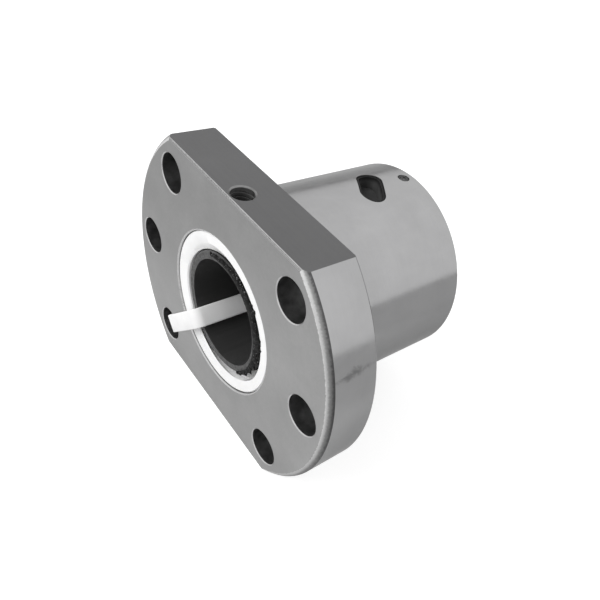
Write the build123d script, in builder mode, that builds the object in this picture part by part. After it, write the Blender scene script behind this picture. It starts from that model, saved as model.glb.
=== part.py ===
from build123d import *
import os
from math import atan, ceil, cos, degrees, floor, pi, radians, sin, sqrt

# Flanged single ball-screw nut on its assembly sleeve, tied through one bolt hole.
# All lengths are millimetres. The origin is the centre of the flange's mounting face.
# +Y runs along the nut axis into the barrel, and +Z points out of the upper flange flat.

# Flange
flange_diameter = 80.0
flange_across_flats = 62.0
flange_thickness = 12.0
flange_front_chamfer = 1.0
flange_back_chamfer = 0.6
flat_edge_chamfer = 0.3

# Barrel
barrel_diameter = 50.0
barrel_length = 41.0
barrel_end_chamfer = 0.5

# Bolt holes, three at each end of the flange, midway between its rim and the barrel
bolt_hole_diameter = 9.0
bolt_hole_spacing_angle = 45.0
bolt_hole_chamfer = 0.2

# Tapped lubrication port in the upper flat, with a slanted passage behind the front wiper
port_diameter = 5.0
port_depth = 9.0
port_from_front_face = 3.4
port_chamfer = 0.3
passage_diameter = 2.0
passage_start_height = 0.6
passage_end_behind_seat = 3.2

# Ball track
ball_diameter = 3.175
ball_circle_over_screw = 0.8
lead = 5.0
screw_diameter = 32.0
land_clearance = 0.3
track_clearance = 0.02
track_flank_angle = 30.0
relief_clearance = 0.1
end_land = 0.9

# Ball returns, one for each circuit, a quarter turn apart
circuit_count = 4
last_return_from_rear = 14.0
return_half_angle = 13.0
ball_over_screw_clearance = 0.15
channel_clearance = 0.1
channel_slope_angle = 30.0
window_length = 11.9
window_width = 6.4
window_fit = 0.05
insert_bore_clearance = 0.05
insert_below_surface = 0.3
insert_floor = 1.7
insert_dish_wall = 0.6

# Wipers
wiper_wall = 4.3
wiper_seat_clearance = 0.1
wiper_recess = 0.4
wiper_thickness = 4.0
seat_chamfer = 0.3
wiper_edge_chamfer = 0.3
wiper_tongue_clearance = 0.25
wiper_ridge_clearance = 0.7
wiper_ridge_angle = 45.0
ridge_root_depth = 0.6

# Set screw that holds the rear wiper
set_screw_diameter = 3.0
set_screw_fit = 0.04
set_screw_length = 5.2
set_screw_from_rear = 3.3
dog_point_diameter = 1.8
dog_point_length = 0.9
dog_point_clearance = 0.12
set_screw_socket = 1.5
set_screw_socket_depth = 1.2

# Assembly sleeve, which keeps the balls in until the screw takes its place
sleeve_under_screw = 2.7
sleeve_wall = 1.95
sleeve_end_recess = 0.85
sleeve_chamfer = 0.4

# Cable tie
tie_width = 4.8
tie_thickness = 1.2
tie_clearance = 0.3
tie_bend_radius = 2.0
tie_corner_radius = 1.8
tie_behind_flange = 3.4
tie_barrel_gap = 0.8
tie_tail_gap = 1.2
tie_head_position = 17.6
tie_head_length = 6.4
tie_head_height = 5.0
tie_head_width = 8.0
tie_head_lip = 1.5
tie_slot_clearance = 0.25
tie_tail_stub = 1.8
tie_head_chamfer = 0.6

# Places that follow from the sizes above
front_face = -flange_thickness
rear_face = barrel_length
flat_height = flange_across_flats / 2
bolt_circle_diameter = (flange_diameter + barrel_diameter) / 2
ball_circle_radius = (screw_diameter + ball_circle_over_screw) / 2
ball_radius = ball_diameter / 2
balls_per_circuit = floor(2 * pi * ball_circle_radius / ball_diameter - 1)
land_radius = screw_diameter / 2 + land_clearance
last_return = rear_face - last_return_from_rear
circuit_step = lead * (1 + 1 / circuit_count)
front_seat_floor = front_face + wiper_recess + wiper_thickness
rear_seat_floor = rear_face - wiper_recess - wiper_thickness
sleeve_radius = (screw_diameter - sleeve_under_screw) / 2
tongue_radius = sleeve_radius + wiper_tongue_clearance
wiper_radius = tongue_radius + wiper_wall
seat_radius = wiper_radius + wiper_seat_clearance

# Section of the track, a root and two flanks that all touch the same circle round the ball
track_reach = ball_radius + track_clearance
track_mouth_depth = ball_radius / 4
track_flank = radians(track_flank_angle)
track_root_half_width = track_reach * (1 - sin(track_flank)) / cos(track_flank)
track_half_width = (track_reach + track_mouth_depth * sin(track_flank)) / cos(track_flank)
relief_radius = ball_circle_radius + track_reach + relief_clearance

return_lift = screw_diameter / 2 + ball_radius + ball_over_screw_clearance - ball_circle_radius
first_return = last_return - circuit_step * (circuit_count - 1)
land_start = first_return - lead / 2 - track_half_width - end_land
land_end = last_return + lead / 2 + track_half_width + end_land


def turned_from_top(angle, radius, place):
    """Point at an angle about the nut axis, counted from +Z towards +X."""
    return (radius * sin(radians(angle)), place, radius * cos(radians(angle)))


def circuit_point(angle):
    """Ball centre on a circuit whose return is at the top and at Y = 0.

    Outside the return the path is the track's helix. Inside it the path drops straight
    back by one lead and lifts the ball over the screw's land.
    """
    share = max(-1, min(1, angle / return_half_angle))
    radius = ball_circle_radius + return_lift * cos(radians(90 * share)) ** 2
    return turned_from_top(angle, radius, lead * angle / 360 - lead / 2 * share)


def return_location(number):
    """Where the circuit with this number sits, counted from the flange end."""
    steps = circuit_count - number
    return Location((0, last_return - circuit_step * steps, 0), (0, -360 / circuit_count * steps, 0))


# Long axis of the return window, from the upper turn at -X to the lower turn at +X
window_reach = window_length / 2
window_tilt = -degrees(
    atan((lead / 2 - lead * return_half_angle / 360) / (ball_circle_radius * sin(radians(return_half_angle))))
)

# Cutter for the ball track, its section swept along the helix from relief to relief
track_turns_before = ceil((last_return - lead / 2 - land_start + track_half_width) / lead)
track_start = last_return - lead / 2 - track_turns_before * lead
with BuildPart() as track_cutter:
    with BuildLine() as track_line:
        Helix(lead, land_end + track_half_width - track_start, ball_circle_radius, (0, track_start, 0), (0, 1, 0))
    track_plane = Plane(origin=(0, track_start, ball_circle_radius), x_dir=(0, 0, 1), z_dir=(-1, 0, 0))
    with BuildSketch(track_plane) as track_section:
        with BuildLine():
            Polyline(
                (-track_mouth_depth, -track_half_width),
                (track_reach, -track_root_half_width),
                (track_reach, track_root_half_width),
                (-track_mouth_depth, track_half_width),
                close=True,
            )
        make_face()
    sweep(path=track_line.line, is_frenet=True)

# Nut body
with BuildPart() as nut_body:
    with BuildSketch(Plane.XY) as turned_profile:
        with BuildLine():
            Polyline(
                (seat_radius + seat_chamfer, front_face),
                (flange_diameter / 2 - flange_front_chamfer, front_face),
                (flange_diameter / 2, front_face + flange_front_chamfer),
                (flange_diameter / 2, -flange_back_chamfer),
                (flange_diameter / 2 - flange_back_chamfer, 0),
                (barrel_diameter / 2, 0),
                (barrel_diameter / 2, rear_face - barrel_end_chamfer),
                (barrel_diameter / 2 - barrel_end_chamfer, rear_face),
                (seat_radius + seat_chamfer, rear_face),
                (seat_radius, rear_face - seat_chamfer),
                (seat_radius, rear_seat_floor),
                (relief_radius, rear_seat_floor),
                (relief_radius, land_end),
                (land_radius, land_end),
                (land_radius, land_start),
                (relief_radius, land_start),
                (relief_radius, front_seat_floor),
                (seat_radius, front_seat_floor),
                (seat_radius, front_face + seat_chamfer),
                close=True,
            )
        make_face()
    revolve(axis=Axis.Y)

    with BuildSketch(Plane.XZ.offset(flange_thickness)) as flats:
        with GridLocations(0, flange_across_flats + flange_diameter, 1, 2):
            Rectangle(flange_diameter, flange_diameter)
    extrude(amount=-flange_thickness, mode=Mode.SUBTRACT)
    flat_faces = nut_body.faces().filter_by(Axis.Z).group_by(Axis.Z)
    chamfer(
        flat_faces[0].edges().filter_by(Axis.X) + flat_faces[-1].edges().filter_by(Axis.X),
        length=flat_edge_chamfer,
    )

    # Bolt holes, chamfered at both faces
    for side in (0, 180):
        start = side - bolt_hole_spacing_angle
        hole_places = PolarLocations(
            bolt_circle_diameter / 2, 3, start, 2 * bolt_hole_spacing_angle, endpoint=True
        )
        with BuildSketch(Plane.XZ.offset(flange_thickness)) as bolt_holes:
            with hole_places:
                Circle(bolt_hole_diameter / 2)
        extrude(amount=-flange_thickness, mode=Mode.SUBTRACT)
        for face, inwards in ((flange_thickness, -1), (0, 1)):
            with BuildSketch(Plane.XZ.offset(face)) as hole_rims:
                with hole_places:
                    Circle(bolt_hole_diameter / 2 + bolt_hole_chamfer)
            extrude(amount=inwards * bolt_hole_chamfer, taper=45, mode=Mode.SUBTRACT)

    # Lubrication port and its passage to the space behind the front wiper
    port_place = front_face + port_from_front_face
    port_floor = flat_height - port_depth
    with BuildSketch(Plane.XY.offset(flat_height)) as port_mouth:
        with Locations((0, port_place)):
            Circle(port_diameter / 2 + port_chamfer)
    extrude(amount=-port_chamfer, taper=45, mode=Mode.SUBTRACT)
    with BuildSketch(Plane.XY.offset(flat_height)) as port:
        with Locations((0, port_place)):
            Circle(port_diameter / 2)
    extrude(amount=-port_depth, mode=Mode.SUBTRACT)
    passage_start = Vector(0, port_place + (port_diameter - passage_diameter) / 4, port_floor + passage_start_height)
    passage_end = Vector(0, front_seat_floor + passage_end_behind_seat, relief_radius - passage_diameter / 2)
    with BuildSketch(Plane(origin=passage_start, z_dir=passage_end - passage_start)) as passage:
        Circle(passage_diameter / 2)
    extrude(amount=(passage_end - passage_start).length, mode=Mode.SUBTRACT)

    # Return windows through the barrel wall, one for each circuit
    for number in range(1, circuit_count + 1):
        with BuildSketch(Plane.XY * return_location(number)) as window:
            SlotOverall(window_length, window_width, rotation=window_tilt)
        extrude(amount=barrel_diameter, mode=Mode.SUBTRACT)

    # Tapped hole for the rear wiper's set screw
    with BuildSketch(Plane.XY.offset(ball_circle_radius)) as set_screw_hole:
        with Locations((0, rear_face - set_screw_from_rear)):
            Circle(set_screw_diameter / 2)
    extrude(amount=barrel_diameter / 2, mode=Mode.SUBTRACT)

    add(track_cutter.part, mode=Mode.SUBTRACT)

nut_body.part.label = "nut_body"

# Return deflector, modelled once with its return at the top and at Y = 0
insert_inner_radius = land_radius + insert_bore_clearance
insert_outer_radius = barrel_diameter / 2 - insert_below_surface
channel_half_width = ball_radius + channel_clearance
channel_headroom = channel_half_width / cos(radians(channel_slope_angle))
dish_floor_radius = ball_circle_radius + return_lift + channel_headroom + insert_floor
channel_direction = Vector(cos(radians(window_tilt)), sin(radians(window_tilt)), 0)
channel_plane = Plane(origin=(0, 0, 0), x_dir=channel_direction, z_dir=channel_direction.cross(Vector(0, 0, 1)))
channel_roof = []
for step in (-1.25, -0.5, 0, 0.5, 1.25):
    ball_centre = Vector(circuit_point(return_half_angle * step))
    outwards = Vector(ball_centre.X, 0, ball_centre.Z)
    roof_point = outwards + outwards.normalized() * channel_headroom
    channel_roof.append((roof_point.X / channel_direction.X, roof_point.Z))
with BuildPart() as deflector:
    with BuildSketch(Plane.XY) as insert_outline:
        SlotOverall(window_length - 2 * window_fit, window_width - 2 * window_fit, rotation=window_tilt)
    extrude(amount=barrel_diameter / 2)
    with BuildSketch(Plane.XZ.offset(-window_reach)) as insert_shell:
        Circle(insert_outer_radius)
        Circle(insert_inner_radius, mode=Mode.SUBTRACT)
    extrude(amount=window_length, mode=Mode.INTERSECT)
    with BuildSketch(Plane.XY.offset(dish_floor_radius)) as dish:
        SlotOverall(
            window_length - 2 * (window_fit + insert_dish_wall),
            window_width - 2 * (window_fit + insert_dish_wall),
            rotation=window_tilt,
        )
    extrude(amount=barrel_diameter / 2, mode=Mode.SUBTRACT)
    with BuildSketch(channel_plane) as channel:
        with BuildLine():
            Polyline(*channel_roof, (channel_roof[-1][0], 0), (channel_roof[0][0], 0), close=True)
        make_face()
    extrude(amount=channel_half_width, both=True, mode=Mode.SUBTRACT)
    for side in (1, -1):
        path_end = Vector(circuit_point(side * return_half_angle))
        with BuildSketch(Plane.XZ.offset(-path_end.Y - channel_half_width)) as channel_entry:
            Circle(ball_circle_radius + channel_half_width)
            with Locations((path_end.X, 0)):
                Rectangle(
                    window_length,
                    barrel_diameter,
                    align=(Align.MIN if side > 0 else Align.MAX, Align.CENTER),
                    mode=Mode.INTERSECT,
                )
        extrude(amount=2 * channel_half_width, mode=Mode.SUBTRACT)

# One ball, a 14-sided solid with its corners on the ball's surface, so that many stay light
ball_half_size = ball_radius / sqrt(2)
corner_reach = 2 * ball_half_size / sqrt(3)
with BuildPart() as ball:
    Box(2 * ball_half_size, 2 * ball_half_size, 2 * ball_half_size)
    for quarter in range(4):
        for side in (1, -1):
            corner_direction = Vector(1, 0, side * sqrt(0.5)).rotate(Axis.Z, 45 + 90 * quarter)
            corner_plane = Plane(origin=corner_direction.normalized() * corner_reach, z_dir=corner_direction)
            with BuildSketch(corner_plane):
                Rectangle(4 * ball_radius, 4 * ball_radius)
            extrude(amount=ball_radius, mode=Mode.SUBTRACT)

ball_places = [
    circuit_point(360 * (place + 0.5) / balls_per_circuit - 180) for place in range(balls_per_circuit)
]

# The screw's thread ridge, with clearance, which both wipers' bores are shaped to
ridge_top_radius = screw_diameter / 2 + wiper_ridge_clearance
ridge_root_radius = tongue_radius - ridge_root_depth
groove_half_at_top = sqrt(ball_radius**2 - (ball_circle_radius - screw_diameter / 2) ** 2)
ridge_half_at_top = lead / 2 - groove_half_at_top
ridge_half_at_root = lead / 2 - ridge_root_depth / 2
front_wiper_face = front_seat_floor - wiper_thickness


def screw_ridge(low_face):
    """Ridge through a wiper. It crosses the front wiper's outer face at the angle named."""
    start = low_face - lead / 2
    angle = wiper_ridge_angle - 180 + 360 * (low_face - front_wiper_face) / lead
    with BuildPart() as ridge:
        with BuildLine() as ridge_line:
            Helix(lead, wiper_thickness + lead, ridge_root_radius, (0, start, 0), (0, 1, 0))
        ridge_plane = Plane(origin=(0, start, ridge_root_radius), x_dir=(0, 0, 1), z_dir=(-1, 0, 0))
        with BuildSketch(ridge_plane):
            with BuildLine():
                Polyline(
                    (0, -ridge_half_at_root),
                    (ridge_top_radius - ridge_root_radius, -ridge_half_at_top),
                    (ridge_top_radius - ridge_root_radius, ridge_half_at_top),
                    (0, ridge_half_at_root),
                    close=True,
                )
            make_face()
        sweep(path=ridge_line.line, is_frenet=True)
    return ridge.part.rotate(Axis.Y, angle)


# Front wiper, turned from a profile at -X, which keeps its seam clear of the ridge's ends
with BuildPart() as wiper_front:
    with BuildSketch(Plane(origin=(0, 0, 0), x_dir=(-1, 0, 0), z_dir=(0, 0, -1))) as front_ring:
        with BuildLine():
            Polyline(
                (tongue_radius + wiper_edge_chamfer, front_wiper_face),
                (wiper_radius - wiper_edge_chamfer, front_wiper_face),
                (wiper_radius, front_wiper_face + wiper_edge_chamfer),
                (wiper_radius, front_seat_floor),
                (tongue_radius, front_seat_floor),
                (tongue_radius, front_wiper_face + wiper_edge_chamfer),
                close=True,
            )
        make_face()
    revolve(axis=Axis.Y)
    add(screw_ridge(front_wiper_face), mode=Mode.SUBTRACT)
wiper_front.part.label = "wiper_front"

# Rear wiper, with a dimple for the set screw's dog point
dog_point_tip = wiper_radius + set_screw_fit - dog_point_length
with BuildPart() as wiper_rear:
    with BuildSketch(Plane.XY) as rear_ring:
        with BuildLine():
            Polyline(
                (tongue_radius + wiper_edge_chamfer, rear_seat_floor + wiper_thickness),
                (wiper_radius - wiper_edge_chamfer, rear_seat_floor + wiper_thickness),
                (wiper_radius, rear_seat_floor + wiper_thickness - wiper_edge_chamfer),
                (wiper_radius, rear_seat_floor),
                (tongue_radius, rear_seat_floor),
                (tongue_radius, rear_seat_floor + wiper_thickness - wiper_edge_chamfer),
                close=True,
            )
        make_face()
    revolve(axis=Axis.Y)
    add(screw_ridge(rear_seat_floor), mode=Mode.SUBTRACT)
    with BuildSketch(Plane.XY.offset(dog_point_tip - dog_point_clearance)) as dimple:
        with Locations((0, rear_face - set_screw_from_rear)):
            Circle(dog_point_diameter / 2 + dog_point_clearance)
    extrude(amount=wiper_radius, mode=Mode.SUBTRACT)
wiper_rear.part.label = "wiper_rear"

# Set screw with a dog point and a hexagon socket
with BuildPart() as wiper_set_screw:
    with BuildSketch(Plane.XY.offset(dog_point_tip)) as dog_point:
        with Locations((0, rear_face - set_screw_from_rear)):
            Circle(dog_point_diameter / 2)
    extrude(amount=dog_point_length)
    with BuildSketch(Plane.XY.offset(dog_point_tip + dog_point_length)) as screw_body:
        with Locations((0, rear_face - set_screw_from_rear)):
            Circle(set_screw_diameter / 2 - set_screw_fit)
    extrude(amount=set_screw_length - dog_point_length)
    with BuildSketch(Plane.XY.offset(dog_point_tip + set_screw_length)) as socket:
        with Locations((0, rear_face - set_screw_from_rear)):
            RegularPolygon(set_screw_socket / 2, 6, major_radius=False)
    extrude(amount=-set_screw_socket_depth, mode=Mode.SUBTRACT)
wiper_set_screw.part.label = "wiper_set_screw"

# Assembly sleeve
sleeve_bore_radius = sleeve_radius - sleeve_wall
sleeve_front = front_face + sleeve_end_recess
sleeve_rear = rear_face - sleeve_end_recess
with BuildPart() as assembly_sleeve:
    with BuildSketch(Plane.XY) as sleeve_profile:
        with BuildLine():
            Polyline(
                (sleeve_bore_radius, sleeve_front),
                (sleeve_radius - sleeve_chamfer, sleeve_front),
                (sleeve_radius, sleeve_front + sleeve_chamfer),
                (sleeve_radius, sleeve_rear - sleeve_chamfer),
                (sleeve_radius - sleeve_chamfer, sleeve_rear),
                (sleeve_bore_radius, sleeve_rear),
                close=True,
            )
        make_face()
    revolve(axis=Axis.Y)
assembly_sleeve.part.label = "assembly_sleeve"

# Cable tie, drawn in the plane through the nut axis and the tied bolt hole, which is the
# lower one at -X. There x runs outwards from the axis and y along it.
tie_plane = Plane(origin=(0, 0, 0), x_dir=(-1, 0, -1), z_dir=(1, 0, -1))
half_tie = tie_thickness / 2
tie_in_sleeve = sqrt((sleeve_bore_radius - tie_clearance) ** 2 - (tie_width / 2) ** 2) - half_tie
tie_in_hole = (
    bolt_circle_diameter / 2
    - sqrt((bolt_hole_diameter / 2) ** 2 - (tie_width / 2) ** 2)
    + bolt_hole_chamfer
    + half_tie
)
tie_front = front_face - tie_clearance - half_tie
tie_rear = rear_face + tie_clearance + half_tie
tie_over_barrel = barrel_diameter / 2 + tie_barrel_gap + half_tie
tie_tail_turn = barrel_diameter / 2 + tie_tail_gap + half_tie
tie_head_base = tie_tail_turn + 3 * half_tie + tie_clearance / 2
tie_head_top = tie_head_base + tie_head_height
tie_head_start = tie_head_position - half_tie - tie_slot_clearance - tie_head_lip
with BuildPart() as cable_tie:
    with BuildSketch(tie_plane) as head_side:
        with Locations((tie_head_base, tie_head_start)):
            Rectangle(tie_head_height, tie_head_length, align=(Align.MIN, Align.MIN))
    extrude(amount=tie_head_width / 2, both=True)
    with BuildSketch(tie_plane) as slot_side:
        with Locations((tie_head_base, tie_head_position)):
            Rectangle(
                tie_head_height,
                tie_thickness + 2 * tie_slot_clearance,
                align=(Align.MIN, Align.CENTER),
            )
    extrude(amount=tie_width / 2 + tie_slot_clearance, both=True, mode=Mode.SUBTRACT)
    head_top = cable_tie.faces().sort_by(Axis((0, 0, 0), tie_plane.x_dir)).last
    chamfer(head_top.outer_wire().edges(), length=tie_head_chamfer)
    with BuildSketch(tie_plane) as tie_side:
        with BuildLine() as tie_route:
            FilletPolyline(
                (tie_head_base + half_tie, tie_head_start + tie_head_length - tie_head_lip),
                (tie_head_base + half_tie, tie_head_start + tie_head_length * 1.5),
                (tie_over_barrel, tie_rear),
                (tie_in_sleeve, tie_rear),
                (tie_in_sleeve, tie_front),
                (tie_in_hole, tie_front),
                (tie_in_hole, tie_behind_flange),
                (tie_tail_turn, tie_head_position),
                (tie_head_top + tie_tail_stub, tie_head_position),
                radius=[
                    tie_head_length,
                    tie_bend_radius,
                    tie_bend_radius,
                    tie_bend_radius,
                    tie_bend_radius,
                    tie_head_length,
                    tie_corner_radius,
                ],
            )
        trace(line_width=tie_thickness)
    extrude(amount=tie_width / 2, both=True)
cable_tie.part.label = "cable_tie"

os.makedirs("parts", exist_ok=True)
export_step(nut_body.part, "parts/nut_body.step")
export_step(wiper_front.part, "parts/wiper_front.step")
export_step(wiper_rear.part, "parts/wiper_rear.step")
export_step(wiper_set_screw.part, "parts/wiper_set_screw.step")
export_step(assembly_sleeve.part, "parts/assembly_sleeve.step")
export_step(cable_tie.part, "parts/cable_tie.step")
for number in range(1, circuit_count + 1):
    with BuildPart() as return_deflector:
        with Locations(return_location(number)):
            add(deflector.part)
    return_deflector.part.label = f"return_deflector_{number}"
    export_step(return_deflector.part, f"parts/return_deflector_{number}.step")

    with BuildPart() as ball_circuit:
        with Locations(return_location(number)):
            with Locations(*ball_places):
                add(ball.part)
    ball_circuit.part.label = f"ball_circuit_{number}"
    export_step(ball_circuit.part, f"parts/ball_circuit_{number}.step")
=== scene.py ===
import bpy
import math
from mathutils import Matrix, Vector


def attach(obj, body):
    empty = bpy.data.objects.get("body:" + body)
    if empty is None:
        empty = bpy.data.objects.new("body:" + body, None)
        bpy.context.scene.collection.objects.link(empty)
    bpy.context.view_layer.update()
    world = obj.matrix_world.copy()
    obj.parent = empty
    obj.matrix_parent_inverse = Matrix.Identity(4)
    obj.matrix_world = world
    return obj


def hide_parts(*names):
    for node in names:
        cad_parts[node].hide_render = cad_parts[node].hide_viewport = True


# Flanged ball screw nut on its assembly sleeve. Metres, +Y along the nut axis, +Z out of the upper flat.
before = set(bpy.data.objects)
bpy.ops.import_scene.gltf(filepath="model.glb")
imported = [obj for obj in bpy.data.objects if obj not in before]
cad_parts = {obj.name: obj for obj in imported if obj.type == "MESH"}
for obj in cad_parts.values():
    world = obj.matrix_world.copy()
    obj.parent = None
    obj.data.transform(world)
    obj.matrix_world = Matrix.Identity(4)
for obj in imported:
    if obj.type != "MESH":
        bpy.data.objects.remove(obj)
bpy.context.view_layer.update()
print("frame loaded")

mergeReach = 0.000002  # corners closer than this are one
smoothAngle = 28  # degrees, past which an edge stays crisp


def mm(*values):
    return tuple(value / 1000 for value in values)


def deselectAll():
    if bpy.context.object and bpy.context.object.mode != "OBJECT":
        bpy.ops.object.mode_set(mode="OBJECT")
    bpy.ops.object.select_all(action="DESELECT")


def makeActive(piece):
    deselectAll()
    piece.select_set(True)
    bpy.context.view_layer.objects.active = piece


def applyPlace(piece):
    makeActive(piece)
    bpy.ops.object.transform_apply(location=True, rotation=True, scale=True)


# leaves the piece in edit mode with all of it selected
def openAll(piece):
    makeActive(piece)
    bpy.ops.object.mode_set(mode="EDIT")
    bpy.ops.mesh.select_all(action="SELECT")


# leaves the piece in edit mode with only the vertices, edges or faces that pass the test selected
def pick(piece, kind, test):
    makeActive(piece)
    mesh = piece.data
    bpy.ops.object.mode_set(mode="EDIT")
    bpy.ops.mesh.select_mode(type=kind)
    bpy.ops.mesh.select_all(action="DESELECT")
    bpy.ops.object.mode_set(mode="OBJECT")
    if kind == "VERT":
        for vertex in mesh.vertices:
            vertex.select = bool(test(vertex.co))
    elif kind == "EDGE":
        for edge in mesh.edges:
            first, second = (mesh.vertices[index].co for index in edge.vertices)
            edge.select = bool(test(first, second))
    else:
        for face in mesh.polygons:
            face.select = bool(test(face.center, face.normal))
    bpy.ops.object.mode_set(mode="EDIT")


def closePiece():
    bpy.ops.object.mode_set(mode="OBJECT")


def finishModifier(piece, kind, **settings):
    makeActive(piece)
    bpy.ops.object.modifier_add(type=kind)
    modifier = piece.modifiers[-1]
    for key, value in settings.items():
        setattr(modifier, key, value)
    bpy.ops.object.modifier_apply(modifier=modifier.name)


def smoothShade(angle=smoothAngle):
    bpy.ops.object.shade_smooth_by_angle(angle=math.radians(angle))


# merges the piece and turns its faces outwards, with its place in its mesh
def settle(piece, angle):
    applyPlace(piece)
    openAll(piece)
    bpy.ops.mesh.remove_doubles(threshold=mergeReach)
    bpy.ops.mesh.normals_make_consistent(inside=False)
    closePiece()
    smoothShade(angle)


# a merged copy of a node's solid, so that its round faces don't show flat facets
def smoothNode(nodeName, pieceName, body):
    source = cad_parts[nodeName]
    piece = source.copy()
    piece.data = source.data.copy()
    piece.name = pieceName
    piece.data.name = pieceName
    bpy.context.collection.objects.link(piece)
    openAll(piece)
    bpy.ops.mesh.remove_doubles(threshold=mergeReach)
    closePiece()
    if piece.data.has_custom_normals:
        bpy.ops.mesh.customdata_custom_splitnormals_clear()
    smoothShade()
    piece.data.materials.clear()
    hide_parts(nodeName)
    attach(piece, body)
    return piece


def dress(piece, material):
    piece.data.materials.clear()
    piece.data.materials.append(material)


# gives the faces that pass the test a finish of their own, by their middle in millimetres
def dressWhere(piece, material, test):
    if material.name not in piece.data.materials:
        piece.data.materials.append(material)
    place = piece.data.materials.find(material.name)
    for face in piece.data.polygons:
        if test(face.center * 1000, face.normal):
            face.material_index = place


# the node tree of a material or the world, with short calls for the nodes used most
class Recipe:
    def __init__(self, owner, shaderName="Principled BSDF"):
        owner.use_nodes = True
        self.owner = owner
        self.tree = owner.node_tree
        self.shader = self.tree.nodes[shaderName]

    def node(self, kind, **settings):
        made = self.tree.nodes.new(kind)
        for key, value in settings.items():
            setattr(made, key, value)
        return made

    def feed(self, socket, value):
        if isinstance(value, (int, float)):
            socket.default_value = value
        elif isinstance(value, tuple):
            socket.default_value = (*value, 1) if socket.type == "RGBA" else value
        else:
            self.tree.links.new(value, socket)

    def put(self, name, value):
        self.feed(self.shader.inputs[name], value)

    def math(self, operation, a, b=0.5):
        made = self.node("ShaderNodeMath", operation=operation)
        self.feed(made.inputs[0], a)
        self.feed(made.inputs[1], b)
        return made.outputs[0]

    def plus(self, a, b):
        return self.math("ADD", a, b)

    def times(self, product, *factors):
        for factor in factors:
            product = self.math("MULTIPLY", product, factor)
        return product

    def place(self):
        return self.node("ShaderNodeTexCoord").outputs["Object"]

    def split(self, vector):
        made = self.node("ShaderNodeSeparateXYZ")
        self.feed(made.inputs[0], vector)
        return made.outputs

    def join(self, x, y, z):
        made = self.node("ShaderNodeCombineXYZ")
        for socket, value in zip(made.inputs, (x, y, z)):
            self.feed(socket, value)
        return made.outputs[0]

    # a shade as a colour, a little off grey where its green and blue are
    def tint(self, shade, green=1.0, blue=1.0):
        return self.join(shade, self.times(shade, green), self.times(shade, blue))

    # length of the vector with these two parts
    def span(self, a, b):
        return self.math("SQRT", self.plus(self.times(a, a), self.times(b, b)))

    # distance from the nut axis, place along it and angle about it
    def aboutAxis(self, vector):
        x, y, z = self.split(vector)
        return self.span(x, z), y, self.math("ARCTAN2", x, z)

    def noise(self, vector, scale, detail=4.0, roughness=0.5, distortion=0.0):
        made = self.node("ShaderNodeTexNoise")
        for name, value in (("Vector", vector), ("Scale", scale), ("Detail", detail),
                            ("Roughness", roughness), ("Distortion", distortion)):
            self.feed(made.inputs[name], value)
        return made.outputs["Fac"]

    def ramp(self, factor, stops):
        made = self.node("ShaderNodeValToRGB")
        self.feed(made.inputs[0], factor)
        elements = made.color_ramp.elements
        while len(elements) < len(stops):
            elements.new(0.5)
        for element, (position, shade) in zip(elements, stops):
            element.position = position
            element.color = (shade, shade, shade, 1)
        return made.outputs[0]

    def spread(self, factor, fromLow, fromHigh, toLow, toHigh):
        made = self.node("ShaderNodeMapRange")
        for socket, value in zip(made.inputs, (factor, fromLow, fromHigh, toLow, toHigh)):
            self.feed(socket, value)
        return made.outputs[0]

    # a noise's usual range, spread between two bounds
    def vary(self, noise, low, high):
        return self.spread(noise, 0.3, 0.7, low, high)

    def mixColour(self, factor, a, b, blendType="MIX"):
        made = self.node("ShaderNodeMix", data_type="RGBA", blend_type=blendType)
        for index, value in ((0, factor), (6, a), (7, b)):
            self.feed(made.inputs[index], value)
        return made.outputs[2]

    def bump(self, height, strength, distance):
        made = self.node("ShaderNodeBump")
        for name, value in (("Height", height), ("Strength", strength), ("Distance", distance)):
            self.feed(made.inputs[name], value)
        self.put("Normal", made.outputs[0])


def newMaterial(name, metallic=0.0):
    made = Recipe(bpy.data.materials.new(name))
    made.put("Metallic", metallic)
    return made


steelLook = {
    "barrelShade": 0.435,
    "faceShade": 0.395,
    "flatShade": 0.162,
    # the chamfers' painted highlight
    "edgeShade": 0.62,
    "wallShade": 0.135,
    "threadShade": 0.10,
    "countersinkShade": 0.27,
    "trackShade": 0.30,
    "barrelRoughness": 0.20,
    "faceRoughness": 0.38,
    "flatRoughness": 0.48,
    "edgeRoughness": 0.30,
    "wallRoughness": 0.42,
    "trackRoughness": 0.22,
    "wallMetal": 0.9,
    "threadMetal": 0.3,
    "anisotropy": 0.55,
    "grazingTint": 0.66,
    "streakScale": 260,
    "grainScale": 2400,
    "cloudScale": 60,
    "patchScale": 260,
}
smudgeLook = {  # metres and radians
    "turn": 1.200,
    "place": -0.0062,
    "radius": 0.040,
    "slope": 0.06,
    "taper": 0.22,
    "ragged": 0.0007,
    "edge": (0.0002, 0.0014),
    "tone": 0.60,
}


# a faint dark handling mark that runs slantwise over the flange's rim
def rimSmudge(steel, place, along, angle):
    look = smudgeLook
    rise, lean = math.sin(look["slope"]), math.cos(look["slope"])
    aside = steel.times(steel.math("SUBTRACT", angle, look["turn"]), look["radius"])
    forth = steel.math("SUBTRACT", along, look["place"])
    across = steel.plus(steel.times(forth, rise), steel.times(aside, lean))
    length = steel.math("SUBTRACT", steel.times(forth, lean), steel.times(aside, rise))
    narrowing = steel.times(steel.math("ABSOLUTE", length), look["taper"])
    reach = steel.plus(steel.math("ABSOLUTE", across), narrowing)
    ragged = steel.vary(steel.noise(place, 700, 5, 0.7, 0.6), -look["ragged"], look["ragged"])
    return steel.spread(steel.plus(reach, ragged), *look["edge"], look["tone"], 1.0)


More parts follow.
